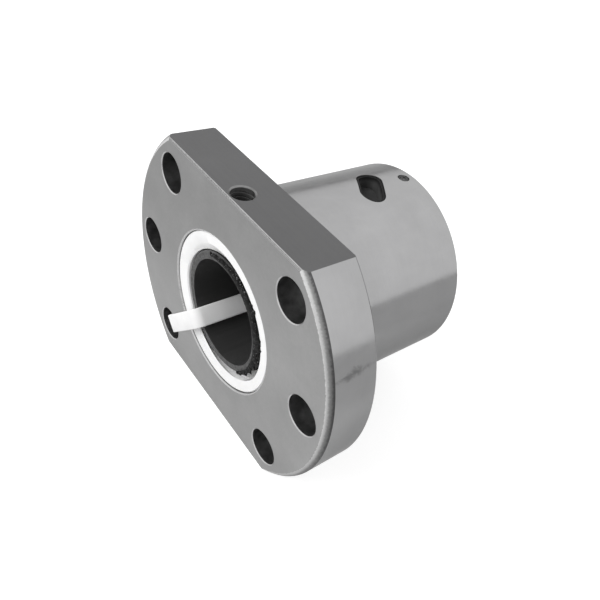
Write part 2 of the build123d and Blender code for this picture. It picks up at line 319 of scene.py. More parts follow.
# ground round surfaces: fine marks run round the axis, so reflections blur along it
def groundSteel():
    look = steelLook
    steel = newMaterial("groundSteel", metallic=1.0)
    place = steel.place()
    along, angle = steel.aboutAxis(place)[1:]
    marks = steel.noise(steel.join(along, steel.times(angle, 0.0012), 0.0), look["grainScale"], 3, 0.6)
    cloud = steel.noise(place, look["cloudScale"], 4, 0.55)
    patch = steel.noise(place, look["patchScale"], 5, 0.65, 0.4)
    drawnOut = steel.join(steel.times(along, 0.5), steel.times(angle, 0.025), 0.0)
    streak = steel.noise(drawnOut, look["streakScale"], 5, 0.6, 0.5)
    tone = steel.times(steel.vary(cloud, 0.94, 1.05), steel.spread(marks, 0.25, 0.75, 0.985, 1.015),
                       steel.vary(streak, 0.975, 1.02), rimSmudge(steel, place, along, angle))
    unevenness = steel.spread(patch, 0.35, 0.75, -0.03, 0.06)
    steel.put("Base Color", steel.tint(steel.times(tone, look["barrelShade"]), blue=1.006))
    steel.put("Roughness", steel.plus(look["barrelRoughness"], unevenness))
    steel.put("Anisotropic", look["anisotropy"])
    steel.put("Specular Tint", (look["grazingTint"],) * 3)
    steel.put("Tangent", steel.join(0.0, 1.0, 0.0))
    steel.bump(steel.plus(marks, steel.times(patch, 0.4)), 0.06, 0.00002)
    return steel.owner


# the flange's front, fine and matt with faint mottling
def facedSteel():
    look = steelLook
    steel = newMaterial("facedSteel", metallic=1.0)
    place = steel.place()
    radius, _, angle = steel.aboutAxis(place)
    rings = steel.noise(steel.join(radius, steel.times(angle, 0.0016), 0.0), 1500, 3, 0.55)
    grain = steel.noise(place, 1500, 4, 0.6)
    cloud = steel.noise(place, look["cloudScale"], 4, 0.55)
    patch = steel.noise(place, look["patchScale"], 5, 0.65, 0.8)
    tone = steel.times(steel.vary(cloud, 0.91, 1.08), steel.vary(patch, 0.94, 1.05),
                       steel.vary(grain, 0.97, 1.03), steel.vary(rings, 0.99, 1.01))
    unevenness = steel.spread(patch, 0.35, 0.75, -0.04, 0.08)
    steel.put("Base Color", steel.tint(steel.times(tone, look["faceShade"])))
    steel.put("Roughness", steel.plus(look["faceRoughness"], unevenness))
    steel.bump(steel.plus(grain, steel.times(rings, 0.4)), 0.08, 0.00002)
    return steel.owner


# the two flats, milled and darker, with faint straight passes along them
def milledSteel():
    look = steelLook
    steel = newMaterial("milledSteel", metallic=1.0)
    place = steel.place()
    x, y, z = steel.split(place)
    passes = steel.noise(steel.join(steel.times(x, 0.04), y, z), 1800, 3, 0.55)
    grain = steel.noise(place, 1600, 4, 0.6)
    cloud = steel.noise(place, look["cloudScale"], 4, 0.55)
    tone = steel.times(steel.vary(cloud, 0.95, 1.05), steel.vary(grain, 0.965, 1.035),
                       steel.vary(passes, 0.98, 1.02))
    steel.put("Base Color", steel.tint(steel.times(tone, look["flatShade"]), blue=1.01))
    steel.put("Roughness", steel.plus(look["flatRoughness"], steel.vary(grain, -0.04, 0.05)))
    steel.bump(steel.plus(grain, passes), 0.08, 0.00003)
    return steel.owner


rimLook = {
    "band": (0.0386, 0.0400),  # the rim's inner and outer radius in metres
    # the rim's painted highlight, its middle tone and its painted shade
    "paintedHighlight": 0.88,
    "middle": 0.34,
    "dark": 0.10,
    # painted highlight: between these turns the rim's tone scale falls from the first to the second,
    # brightest at the top
    "highlightFadeTurns": (0.7, 1.9),  # radians from the top
    "unevenness": (1.08, 0.62),
}


# the flange's rolled rim, with a painted highlight beside the face and painted shade towards the side
def rolledRim():
    look = rimLook
    steel = newMaterial("rolledRim", metallic=1.0)
    place = steel.place()
    radius, _, angle = steel.aboutAxis(place)
    nicks = steel.noise(place, 1900, 4, 0.7)
    across = steel.plus(steel.spread(radius, *look["band"], 0.0, 1.0), steel.vary(nicks, -0.10, 0.10))
    # painted highlight beside the face, fading to painted shade at the side, with random nicks
    shade = steel.ramp(across, [
        (0.02, steelLook["faceShade"]), (0.14, look["paintedHighlight"]), (0.40, look["paintedHighlight"] * 0.8),
        (0.62, look["middle"]), (0.80, look["middle"] * 0.7), (0.95, look["dark"])])
    # painted highlight that is brightest at the top of the rim and fades down its side, times random nicks
    unevenness = steel.times(steel.spread(angle, *look["highlightFadeTurns"], *look["unevenness"]), steel.vary(nicks, 0.86, 1.1))
    steel.put("Base Color", steel.mixColour(1.0, shade, steel.tint(unevenness), "MULTIPLY"))
    steel.put("Roughness", steel.vary(nicks, 0.30, 0.42))
    steel.bump(nicks, 0.15, 0.00003)
    return steel.owner


# chamfers, painted brighter than the faces beside them as a painted highlight along the edges
def chamferHighlight():
    look = steelLook
    steel = newMaterial("chamferHighlight", metallic=1.0)
    nicks = steel.noise(steel.place(), 900, 5, 0.7)
    steel.put("Base Color", steel.tint(steel.times(steel.vary(nicks, 0.82, 1.08), look["edgeShade"])))
    steel.put("Roughness", steel.plus(look["edgeRoughness"], steel.vary(nicks, -0.06, 0.1)))
    steel.bump(nicks, 0.2, 0.00004)
    return steel.owner


# walls of holes and windows, dark with oil and drilled marks
def boredSteel(name, wallShade, metallic):
    steel = newMaterial(name, metallic)
    place = steel.place()
    x, y, z = steel.split(place)
    rings = steel.noise(steel.join(steel.times(x, 0.1), y, steel.times(z, 0.1)), 2200, 3, 0.6)
    oil = steel.noise(place, 420, 5, 0.65)
    steel.put("Base Color", steel.tint(steel.times(steel.vary(oil, 0.7, 1.25), wallShade)))
    steel.put("Roughness", steel.plus(steelLook["wallRoughness"], steel.vary(oil, -0.1, 0.12)))
    steel.bump(rings, 0.2, 0.00004)
    return steel.owner


# the hardened ball track, straw coloured with oil
def trackSteel():
    look = steelLook
    steel = newMaterial("trackSteel", metallic=1.0)
    film = steel.noise(steel.place(), 500, 5, 0.6)
    shade = steel.times(steel.vary(film, 0.85, 1.1), look["trackShade"])
    steel.put("Base Color", steel.tint(shade, green=0.97, blue=0.93))
    steel.put("Roughness", steel.plus(look["trackRoughness"], steel.vary(film, -0.05, 0.08)))
    steel.bump(film, 0.1, 0.00003)
    return steel.owner


plasticLook = {  # the darkest and the lightest shade of each
    "wiper": (0.85, 0.90),
    "nylon": (0.82, 0.89),
    "sleeve": (0.024, 0.030),
    "sleeveFleck": 0.09,
    "sawn": (0.045, 0.10),
    "sawnCrumb": 0.02,
    "insert": (0.040, 0.066),
    "insertRim": (0.0235, 0.0244),  # radius band in metres, over which painted shade darkens the insert's rim
    "insertRimPaintedShade": 0.3,
    "grease": (0.004, 0.012),
    # the pale tone of the grease's painted glints
    "greaseGlint": 0.32,
}


def wiperPlastic():
    dark, light = plasticLook["wiper"]
    plastic = newMaterial("wiperPlastic")
    place = plastic.place()
    radius, along, angle = plastic.aboutAxis(place)
    grain = plastic.noise(place, 1800, 4, 0.6)
    stain = plastic.noise(place, 170, 5, 0.6)
    turned = plastic.noise(plastic.join(radius, plastic.times(angle, 0.002), along), 1400, 3, 0.5)
    plastic.put("Base Color", plastic.ramp(stain, [(0.3, dark), (0.6, light)]))
    plastic.put("Roughness", plastic.vary(grain, 0.44, 0.58))
    plastic.put("Specular IOR Level", 0.35)
    plastic.put("Subsurface Weight", 0.10)
    plastic.put("Subsurface Radius", (0.0010, 0.0010, 0.0009))
    plastic.bump(plastic.plus(grain, turned), 0.1, 0.00003)
    return plastic.owner


# black tube, drawn along its length
def sleevePlastic():
    look = plasticLook
    dark, light = look["sleeve"]
    plastic = newMaterial("sleevePlastic")
    place = plastic.place()
    radius, along, angle = plastic.aboutAxis(place)
    drawn = plastic.noise(plastic.join(plastic.times(along, 4.0), angle, radius), 14, 5, 0.6)
    fleck = plastic.noise(place, 1500, 4, 0.65)
    shade = plastic.ramp(drawn, [(0.3, dark), (0.7, light)])
    flecked = plastic.spread(fleck, 0.62, 0.75, 0, 0.35)
    plastic.put("Base Color", plastic.mixColour(flecked, shade, (look["sleeveFleck"],) * 3))
    plastic.put("Roughness", plastic.vary(fleck, 0.38, 0.52))
    plastic.bump(plastic.plus(drawn, plastic.times(fleck, 0.5)), 0.15, 0.00005)
    return plastic.owner


# the tube's rough sawn ends
def sawnPlastic():
    look = plasticLook
    dark, light = look["sawn"]
    plastic = newMaterial("sawnPlastic")
    place = plastic.place()
    radius, _, angle = plastic.aboutAxis(place)
    sawn = plastic.noise(plastic.join(radius, plastic.times(angle, 0.003), 0.0), 2200, 4, 0.6)
    crumb = plastic.noise(place, 900, 6, 0.75)
    shade = plastic.ramp(sawn, [(0.3, dark), (0.7, light)])
    crumbled = plastic.spread(crumb, 0.5, 0.62, 0, 0.8)
    plastic.put("Base Color", plastic.mixColour(crumbled, shade, (look["sawnCrumb"],) * 3))
    plastic.put("Roughness", plastic.vary(crumb, 0.5, 0.7))
    plastic.bump(plastic.plus(sawn, crumb), 0.35, 0.00008)
    return plastic.owner


# black insert, with painted shade that darkens its rim where it lies in the window
def insertPlastic():
    look = plasticLook
    dark, light = look["insert"]
    plastic = newMaterial("insertPlastic")
    place = plastic.place()
    grain = plastic.noise(place, 900, 4, 0.6)
    oil = plastic.noise(place, 260, 4, 0.6)
    shade = plastic.ramp(oil, [(0.3, dark), (0.7, light)])
    radius = plastic.aboutAxis(place)[0]
    # painted shade on the insert's rim
    rimPaintedShade = plastic.spread(radius, *look["insertRim"], 1.0, look["insertRimPaintedShade"])
    plastic.put("Base Color", plastic.mixColour(1.0, shade, plastic.tint(rimPaintedShade), "MULTIPLY"))
    plastic.put("Roughness", plastic.vary(grain, 0.5, 0.66))
    plastic.put("Specular IOR Level", 0.10)
    plastic.bump(grain, 0.25, 0.00006)
    return plastic.owner


def tieNylon():
    dark, light = plasticLook["nylon"]
    nylon = newMaterial("tieNylon")
    place = nylon.place()
    grain = nylon.noise(place, 1200, 3, 0.5)
    haze = nylon.noise(place, 240, 4, 0.5)
    nylon.put("Base Color", nylon.ramp(haze, [(0.3, dark), (0.7, light)]))
    nylon.put("Roughness", nylon.vary(grain, 0.32, 0.45))
    nylon.put("Specular IOR Level", 0.4)
    nylon.put("Subsurface Weight", 0.2)
    nylon.put("Subsurface Radius", (0.0012, 0.0012, 0.0012))
    nylon.bump(grain, 0.1, 0.00004)
    return nylon.owner


def packingGrease():
    look = plasticLook
    dark, light = look["grease"]
    grease = newMaterial("packingGrease")
    place = grease.place()
    lumps = grease.noise(place, 1300, 5, 0.7)
    glintNoise = grease.noise(place, 3200, 3, 0.6)
    shade = grease.ramp(lumps, [(0.35, dark), (0.7, light)])
    # painted glints: pale specks painted into the grease's colour
    paintedGlints = grease.spread(glintNoise, 0.60, 0.70, 0, 0.7)
    grease.put("Base Color", grease.mixColour(paintedGlints, shade, (look["greaseGlint"],) * 3))
    grease.put("Roughness", grease.vary(lumps, 0.35, 0.6))
    grease.put("Specular IOR Level", 0.06)
    grease.bump(lumps, 0.5, 0.00012)
    return grease.owner


def polishedBall():
    steel = newMaterial("polishedBall", metallic=1.0)
    film = steel.noise(steel.place(), 420, 4, 0.6)
    steel.put("Base Color", steel.ramp(film, [(0.3, 0.5), (0.7, 0.64)]))
    steel.put("Roughness", steel.vary(film, 0.06, 0.16))
    return steel.owner


# the set screw's blackened steel, painted pale as painted light so that its top shows lit at the bottom of
# the hole
def blackenedSteel():
    steel = newMaterial("blackenedSteel", metallic=0.85)
    film = steel.noise(steel.place(), 900, 5, 0.6)
    # painted light: a pale shade for blackened steel
    steel.put("Base Color", steel.ramp(film, [(0.3, 0.50), (0.7, 0.85)]))
    steel.put("Roughness", steel.vary(film, 0.35, 0.5))
    steel.bump(film, 0.15, 0.00003)
    return steel.owner


ground, faced, milled, rolled = groundSteel(), facedSteel(), milledSteel(), rolledRim()
highlightedChamfer, track = chamferHighlight(), trackSteel()
bored = boredSteel("boredSteel", steelLook["wallShade"], steelLook["wallMetal"])
oiledThread = boredSteel("oiledThread", steelLook["threadShade"], steelLook["threadMetal"])
countersunk = boredSteel("countersunkSteel", steelLook["countersinkShade"], steelLook["wallMetal"])
white, nylon, cupBlack = wiperPlastic(), tieNylon(), insertPlastic()
sleeveBlack, sawn, greaseBlack = sleevePlastic(), sawnPlastic(), packingGrease()
ballSteel, screwSteel = polishedBall(), blackenedSteel()
print("materials made")


nutLook = {  # millimetres
    "crossFaces": (-12, 0, 41),  # the flange's front, its mounting face and the barrel's end, along Y
    "flatPlace": 31,
    "faceSlack": 0.01,
    "boltRadius": 32.5,
    "boltTurns": (0, 45, 135, 180, 225, 315),
    "rimEdges": ((39.0, -12.0), (40.0, -11.0)),  # radius and place of the front rim's two edges
    "rimSlack": (0.05, 0.02),  # how near to that an edge's ends lie
    "rimRounding": 0.32,
    "portPlace": (0.0, -8.6),
    "portRadius": 2.5,
    "threadTop": (0.0, -8.6, 30.25),
    "portPitch": 1.0,
    "portTurns": 7,
    "portGroove": 0.30,
    "cutterRadius": 0.344,  # puts the triangular cutter's base inside the hole
    "cutterSteps": 32,
    "cutterTurn": 3.1,  # degrees, keeps the cutter's corners off the hole's own
    "screwPlace": 37.7,
}


# a triangular cutter wound down a hole along +Z, for its thread
def threadCutter(look):
    deselectAll()
    corner = look["cutterRadius"]
    location = mm(look["portRadius"] + look["portGroove"] - corner, 0, 0)
    bpy.ops.mesh.primitive_circle_add(vertices=3, radius=corner / 1000, location=location,
                                      rotation=(math.pi / 2, math.pi / 2, 0))
    cutter = bpy.context.object
    applyPlace(cutter)
    finishModifier(cutter, "SCREW", axis="Z", screw_offset=look["portPitch"] / 1000, angle=2 * math.pi,
                   iterations=look["portTurns"], steps=look["cutterSteps"], render_steps=look["cutterSteps"])
    bpy.ops.object.mode_set(mode="EDIT")
    bpy.ops.mesh.select_mode(type="VERT")
    bpy.ops.mesh.select_all(action="DESELECT")
    bpy.ops.mesh.select_non_manifold()
    bpy.ops.mesh.fill_holes(sides=4)
    bpy.ops.mesh.select_all(action="SELECT")
    bpy.ops.mesh.normals_make_consistent(inside=False)
    closePiece()
    x, y, z = look["threadTop"]
    cutter.location = mm(x, y, z - look["portPitch"] * look["portTurns"])
    cutter.rotation_euler = (0, 0, math.radians(look["cutterTurn"]))
    applyPlace(cutter)
    return cutter


def cut(piece, cutter):
    finishModifier(piece, "BOOLEAN", operation="DIFFERENCE", object=cutter, solver="EXACT")
    bpy.data.objects.remove(cutter)


def onRim(first, second):
    aside, along = nutLook["rimSlack"]
    return any(
        all(abs(math.hypot(end.x, end.z) * 1000 - radius) < aside and abs(end.y * 1000 - place) < along
            for end in (first, second))
        for radius, place in nutLook["rimEdges"])


def onFlatFace(middle, normal):
    across = min(abs(middle.y * 1000 - place) for place in nutLook["crossFaces"])
    above = abs(abs(middle.z * 1000) - nutLook["flatPlace"])
    slack = nutLook["faceSlack"]
    return (abs(normal.y) > 0.9999 and across < slack) or (abs(normal.z) > 0.9999 and above < slack)


nutBody = smoothNode("nut_body", "nutBody", "nut")
pick(nutBody, "EDGE", onRim)
bpy.ops.mesh.bevel(offset=nutLook["rimRounding"] / 1000, segments=3, profile=0.5, clamp_overlap=False)
cut(nutBody, threadCutter(nutLook))
makeActive(nutBody)
smoothShade()

# the broad flat faces keep a crisp shade up to their own edges
pick(nutBody, "FACE", onFlatFace)
bpy.ops.mesh.region_to_loop()
bpy.ops.mesh.mark_sharp()
closePiece()

finishLook = {  # millimetres: how far each finish of the nut body reaches
    "rearPlace": 40,
    "innerWalls": 24.7,
    "innerWallsRear": 24.3,
    "trackRadius": 18.25,
    "trackRun": (-7, 36),
    "boltWall": 4.6,
    "boltChamfer": 4.75,
    "portWall": 3.0,
    "portChamfer": 3.1,
    "portDepth": 18,
    "portTop": 30.5,
    "seatWall": (19.2, 19.5),
    "seatChamfer": (19.3, 19.65),
    "seatBack": -7,
    "screwWall": 1.6,
    "screwDepth": 20,
    "rimRadius": 38.6,
    "rimBack": -10.6,
    "flatTop": 30.9,
    "flatChamferTop": 30.6,
    "square": 0.99,  # from here on, a normal's share along an axis makes the face square to it
    "slanted": (0.5, 0.9),
    "halfway": (0.6, 0.8),
    "rimSlanted": 0.02,
    "rimUpright": 0.97,
    "drilled": 0.3,
}
boltPlaces = [(nutLook["boltRadius"] * math.cos(math.radians(turn)),
               nutLook["boltRadius"] * math.sin(math.radians(turn))) for turn in nutLook["boltTurns"]]


def axisDistance(middle):
    return math.hypot(middle.x, middle.z)


def boltDistance(middle):
    return min(math.hypot(middle.x - x, middle.z - z) for x, z in boltPlaces)


def portDistance(middle):
    x, y = nutLook["portPlace"]
    return math.hypot(middle.x - x, middle.y - y)


def screwDistance(middle):
    return math.hypot(middle.x, middle.y - nutLook["screwPlace"])


def within(band, value):
    return band[0] < value < band[1]


def onInnerWall(middle, normal):
    look = finishLook
    reach = look["innerWalls"] if middle.y < look["rearPlace"] else look["innerWallsRear"]
    return axisDistance(middle) < reach and abs(normal.y) < look["square"]


def onTrack(middle, normal):
    return axisDistance(middle) < finishLook["trackRadius"] and within(finishLook["trackRun"], middle.y)


def onBoltWall(middle, normal):
    return boltDistance(middle) < finishLook["boltWall"] and abs(normal.y) < finishLook["drilled"]


def onBoltChamfer(middle, normal):
    look = finishLook
    return boltDistance(middle) < look["boltChamfer"] and within(look["slanted"], abs(normal.y))


def onPortWall(middle, normal):
    look = finishLook
    return (portDistance(middle) < look["portWall"] and middle.z > look["portDepth"]
            and abs(normal.z) < look["square"])


def onPortChamfer(middle, normal):
    look = finishLook
    return (portDistance(middle) < look["portChamfer"] and middle.z > look["portTop"]
            and within(look["slanted"], normal.z))


# the wiper seat's wall near the front takes the lighter faced steel, not the dark bored finish: painted
# light in the narrow gap round the wiper
def onSeatWall(middle, normal):
    return within(finishLook["seatWall"], axisDistance(middle)) and middle.y < finishLook["seatBack"]


def onSeatChamfer(middle, normal):
    look = finishLook
    return within(look["seatChamfer"], axisDistance(middle)) and within(look["slanted"], abs(normal.y))


def onScrewWall(middle, normal):
    return screwDistance(middle) < finishLook["screwWall"] and middle.z > finishLook["screwDepth"]


def onRolledRim(middle, normal):
    look = finishLook
    return (axisDistance(middle) > look["rimRadius"] and middle.y < look["rimBack"]
            and abs(normal.y) > look["rimSlanted"] and abs(normal.z) < look["rimUpright"])


def onFlat(middle, normal):
    return abs(normal.z) > finishLook["square"] and abs(middle.z) > finishLook["flatTop"]


def onFlatChamfer(middle, normal):
    look = finishLook
    halfway = within(look["halfway"], abs(normal.z)) and within(look["halfway"], abs(normal.y))
    return halfway and abs(middle.z) > look["flatChamferTop"] and portDistance(middle) > look["portWall"]


dress(nutBody, ground)
for finish, test in (
        (bored, onInnerWall), (track, onTrack), (bored, onBoltWall), (oiledThread, onPortWall),
        (faced, onSeatWall), (faced, onScrewWall), (rolled, onRolledRim),
        (faced, lambda middle, normal: abs(normal.y) > finishLook["square"]),
        # the chamfers take their painted highlight
        (milled, onFlat), (highlightedChamfer, onFlatChamfer), (highlightedChamfer, onBoltChamfer),
        (countersunk, onPortChamfer), (highlightedChamfer, onSeatChamfer)):
    dressWhere(nutBody, finish, test)
print("nut body dressed")

for end in ("front", "rear"):
    dress(smoothNode(f"wiper_{end}", f"wiper{end.capitalize()}", "nut"), white)

sleeve = smoothNode("assembly_sleeve", "assemblySleeve", "sleeve")
dress(sleeve, sleeveBlack)
dressWhere(sleeve, sawn, lambda middle, normal: abs(normal.y) > 0.5)

for number in range(1, 5):
    insert = smoothNode(f"return_deflector_{number}", f"returnInsert{number}", "nut")
    dress(insert, cupBlack)

screwLook = {  # millimetres
    "topHeight": 23.54,
    "topRounding": 0.16,
    "rimFrom": 1.4,  # the top's outer edge lies farther out than this
}


def onScrewTop(first, second):
    place, look = nutLook["screwPlace"] / 1000, screwLook
    return all(
        abs(end.z * 1000 - look["topHeight"]) < 0.01
        and math.hypot(end.x, end.y - place) > look["rimFrom"] / 1000
        for end in (first, second))


setScrew = smoothNode("wiper_set_screw", "setScrew", "nut")
pick(setScrew, "EDGE", onScrewTop)
bpy.ops.mesh.bevel(offset=screwLook["topRounding"] / 1000, segments=2, profile=0.5, clamp_overlap=False)
closePiece()
dress(setScrew, screwSteel)
print("wipers, sleeve, inserts and set screw dressed")


ballLook = {  # millimetres and degrees
    "ballRadius": 1.5875,
    "circleRadius": 16.4,
    "lead": 5.0,
    "perCircuit": 31,
    "halfReturn": 13.0,
    "returnLift": 1.3375,
    "lastReturn": 27.0,
    "circuits": 4,
    "circuitLeads": 1.25,  # leads from one circuit to the next
    "circuitTurn": 90,
}


# a ball's centre at an angle along its circuit, which the return lifts over the screw's land
def ballCentre(angle, circuit):
    look = ballLook
    share = max(-1.0, min(1.0, angle / look["halfReturn"]))
    radius = look["circleRadius"] + look["returnLift"] * math.cos(math.radians(90 * share)) ** 2
    stepsBack = look["circuits"] - circuit
    along = (look["lastReturn"] - look["circuitLeads"] * look["lead"] * stepsBack
             + look["lead"] * (angle / 360 - share / 2))
    turn = math.radians(angle - look["circuitTurn"] * stepsBack)
    return mm(radius * math.sin(turn), along, radius * math.cos(turn))


def oneBall():
    deselectAll()
    bpy.ops.mesh.primitive_cube_add(size=2)
    ball = bpy.context.object
    openAll(ball)
    bpy.ops.mesh.subdivide(number_cuts=2)
    bpy.ops.transform.tosphere(value=1)
    closePiece()
    reach = max(vertex.co.length for vertex in ball.data.vertices)
    ball.scale = (ballLook["ballRadius"] / 1000 / reach,) * 3
    applyPlace(ball)
    bpy.ops.object.shade_smooth()
    return ball


firstBall = oneBall()
for circuit in range(1, ballLook["circuits"] + 1):
    copies = []
    for place in range(ballLook["perCircuit"]):
        copy = firstBall.copy()
        copy.data = firstBall.data.copy()
        bpy.context.collection.objects.link(copy)
        copy.location = ballCentre(360 * (place + 0.5) / ballLook["perCircuit"] - 180, circuit)
        copies.append(copy)
    deselectAll()
    for copy in copies:
        copy.select_set(True)
    bpy.context.view_layer.objects.active = copies[0]
    bpy.ops.object.join()
    balls = bpy.context.object
    balls.name = f"ballCircuit{circuit}"
    bpy.ops.object.transform_apply(location=True, rotation=True, scale=True)
    dress(balls, ballSteel)
    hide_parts(f"ball_circuit_{circuit}")
    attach(balls, "nut")
bpy.data.objects.remove(firstBall)
print("balls placed")


# The tie is modelled in its own plane: X outwards from the nut axis, Y along it, Z across the strap
tieLook = {  # millimetres
    "width": 4.8,
    "thickness": 1.2,
    "cornerRounding": 0.28,
    "route": (  # outwards, along, and the bend's radius
        (29.35, 19.9, 0.0),
        (29.35, 24.85, 6.4),
        (26.4, 41.9, 2.0),
        (11.566, 41.9, 2.0),
        (11.566, -12.9, 2.0),
        (29.493, -12.9, 2.0),
        (29.493, 3.4, 6.4),
        (26.8, 17.6, 1.8),
        (35.4, 17.6, 0.0),
    ),
    "turnAboutAxis": 135,  # degrees, from +X to the tied bolt hole
    "smoothAngle": 32,
    "teethFrom": -6.0,
    "toothPitch": 1.15,
    "toothHeight": 0.28,
    "toothWidth": 3.0,
    "toothShare": 0.6,  # of the pitch
    "toothLean": 0.9,  # of the height
    "headSize": (5.0, 6.4, 8.0),
    "headMiddle": (31.25, 18.45),
    "headRounding": 0.55,
    "slotSize": (7.0, 1.7, 5.3),
    "slotPlace": 17.6,
    "pawlSize": (2.2, 0.55, 3.2),
    "pawlRounding": 0.12,
}


def strapAlong(name, look):
    deselectAll()
    startX, startY = look["route"][0][:2]
    bpy.ops.mesh.primitive_plane_add(size=1, location=mm(startX, startY, 0), rotation=(math.pi / 2, 0, 0))
    strap = bpy.context.object
    strap.name = name
    strap.scale = mm(look["thickness"], look["width"], 1)
    applyPlace(strap)
    openAll(strap)
    bpy.ops.mesh.bevel(offset=look["cornerRounding"] / 1000, segments=3, affect="VERTICES")
    bpy.ops.mesh.select_all(action="SELECT")
    route = [Vector((*point[:2], 0)) for point in look["route"]]
    bends = [point[2] for point in look["route"]]
    here = route[0]
    for before, corner, after, bend in zip(route, route[1:], route[2:], bends[1:]):
        incoming = (corner - before).normalized()
        outgoing = (after - corner).normalized()
        turn = math.atan2(incoming.cross(outgoing).z, incoming.dot(outgoing))
        cornerCut = bend * math.tan(abs(turn) / 2)
        bendStart = corner - incoming * cornerCut
        bpy.ops.mesh.extrude_region_move(TRANSFORM_OT_translate={"value": (bendStart - here) / 1000})
        side = Vector((-incoming.y, incoming.x, 0)) * math.copysign(bend, turn)
        bpy.ops.mesh.spin(steps=max(4, round(abs(math.degrees(turn)) / 9)), angle=-turn,
                          center=(bendStart + side) / 1000, axis=(0, 0, 1))
        here = corner + outgoing * cornerCut
    bpy.ops.mesh.extrude_region_move(TRANSFORM_OT_translate={"value": (route[-1] - here) / 1000})
    closePiece()
    return strap


def boxPiece(name, middle, size):
    deselectAll()
    bpy.ops.mesh.primitive_cube_add(size=1, location=mm(*middle), scale=mm(*size))
    piece = bpy.context.object
    piece.name = name
    applyPlace(piece)
    return piece


# the head is a rounded block with a slot, and a sprung pawl that holds the strap in it
def tieHead(look):
    middleX, middleY = look["headMiddle"]
    head = boxPiece("tieHead", (middleX, middleY, 0), look["headSize"])
    openAll(head)
    bpy.ops.mesh.bevel(offset=look["headRounding"] / 1000, segments=3, profile=0.5)
    closePiece()
    cut(head, boxPiece("tieSlot", (middleX, look["slotPlace"], 0), look["slotSize"]))
    slotWall = look["slotPlace"] + look["slotSize"][1] / 2
    pawl = boxPiece("tiePawl", (middleX, slotWall, 0), look["pawlSize"])
    pick(pawl, "EDGE", lambda first, second: all(end.y * 1000 < slotWall for end in (first, second)))
    bpy.ops.mesh.bevel(offset=look["pawlRounding"] / 1000, segments=2)
    closePiece()
    return head, pawl


def tieTooth(look):
    size = (2 * look["toothHeight"], look["toothPitch"] * look["toothShare"], look["toothWidth"])
    tooth = boxPiece("tieTooth", (0, 0, 0), size)
    pick(tooth, "VERT", lambda point: point.x < 0 and point.y < 0)
    bpy.ops.transform.translate(value=mm(look["toothHeight"] * look["toothLean"], 0, 0))
    closePiece()
    return tooth


# fine teeth across the strap's inner face, on its last run before the head
def tieTeeth(look):
    bend, last = (Vector((*point[:2], 0)) for point in look["route"][6:8])
    first = Vector((bend.x, look["teethFrom"], 0))
    teeth = []
    for start, end in ((first, bend), (bend, last)):
        along = (end - start).normalized()
        inwards = Vector((-along.y, along.x, 0))
        count = int((end - start).length / look["toothPitch"]) - 2
        for number in range(1, count):
            middle = start + along * look["toothPitch"] * (number + 0.5) + inwards * look["thickness"] / 2
            tooth = tieTooth(look)
            tooth.rotation_euler = (0, 0, math.atan2(inwards.y, inwards.x) + math.pi)
            tooth.location = middle / 1000
            teeth.append(tooth)
    return teeth


strap = strapAlong("cableTie", tieLook)
parts = [strap, *tieHead(tieLook), *tieTeeth(tieLook)]
deselectAll()
for part in parts:
    part.select_set(True)
bpy.context.view_layer.objects.active = strap
bpy.ops.object.transform_apply(location=True, rotation=True, scale=True)
bpy.ops.object.join()
strap.rotation_euler = (0, math.radians(tieLook["turnAboutAxis"]), 0)
settle(strap, tieLook["smoothAngle"])
dress(strap, nylon)
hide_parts("cable_tie")
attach(strap, "nut")
print("cable tie made")


# Black grease squeezed out between the sleeve and the front wiper, ragged where it broke off
greaseLook = {  # millimetres
    "faceHeight": -11.65,
    "innerRadius": 13.75,
    "leastReach": 0.15,
    "thickness": 0.36,
    "outline": (  # angle from +X towards -Z, and the radius that the grease reaches
        (-112, 14.7), (-100, 15.0), (-86, 15.3), (-76, 15.7), (-67, 16.3), (-62, 15.9), (-56, 16.3),
        (-50, 16.5), (-46, 17.0), (-41, 17.1), (-36, 16.3), (-30, 15.9), (-26, 16.2), (-23, 16.5),
        (-19, 16.9), (-15, 16.8), (-11, 16.9), (-8, 16.1), (-4, 15.8), (-1, 15.5), (1, 16.3), (5, 16.2),
        (9, 15.6), (12, 15.8), (17, 15.2), (22, 15.5), (27, 15.0), (33, 15.2), (40, 14.8), (50, 14.6),
    ),
    "segments": 288,
    "ragged": 0.24,
    "smoothAngle": 60,
    "ringRadius": 15,  # the ring that it starts as
    "ringThickness": 2,
}


def greaseTurn(point):
    return math.degrees(math.atan2(-point.z, point.x))


def greaseReach(turn, look):
    stretches = zip(look["outline"], look["outline"][1:])
    (lowTurn, lowReach), (highTurn, highReach) = next(pair for pair in stretches if turn <= pair[1][0])
    share = (turn - lowTurn) / (highTurn - lowTurn)
    ragged = math.sin(turn * 1.9) * math.sin(turn * 1.3 + 1) + 0.5 * math.sin(turn * 3.1)
    return lowReach + (highReach - lowReach) * share + look["ragged"] * ragged


def greaseSwell(turn):
    return 0.75 + 0.25 * math.sin(turn * 1.3) * math.sin(turn * 0.47 + 2)


# moves a corner of the ring to its place in the grease
def greaseCorner(point, look):
    turn = greaseTurn(point)
    share = (math.hypot(point.x, point.z) - look["ringRadius"]) / look["ringThickness"] + 0.5
    inner = look["innerRadius"]
    outer = max(inner + look["leastReach"], greaseReach(turn, look))
    radius = inner + (outer - inner) * share
    across = look["faceHeight"] + point.y * look["thickness"] * greaseSwell(turn)
    direction = math.radians(turn)
    return mm(radius * math.cos(direction), across, -radius * math.sin(direction))


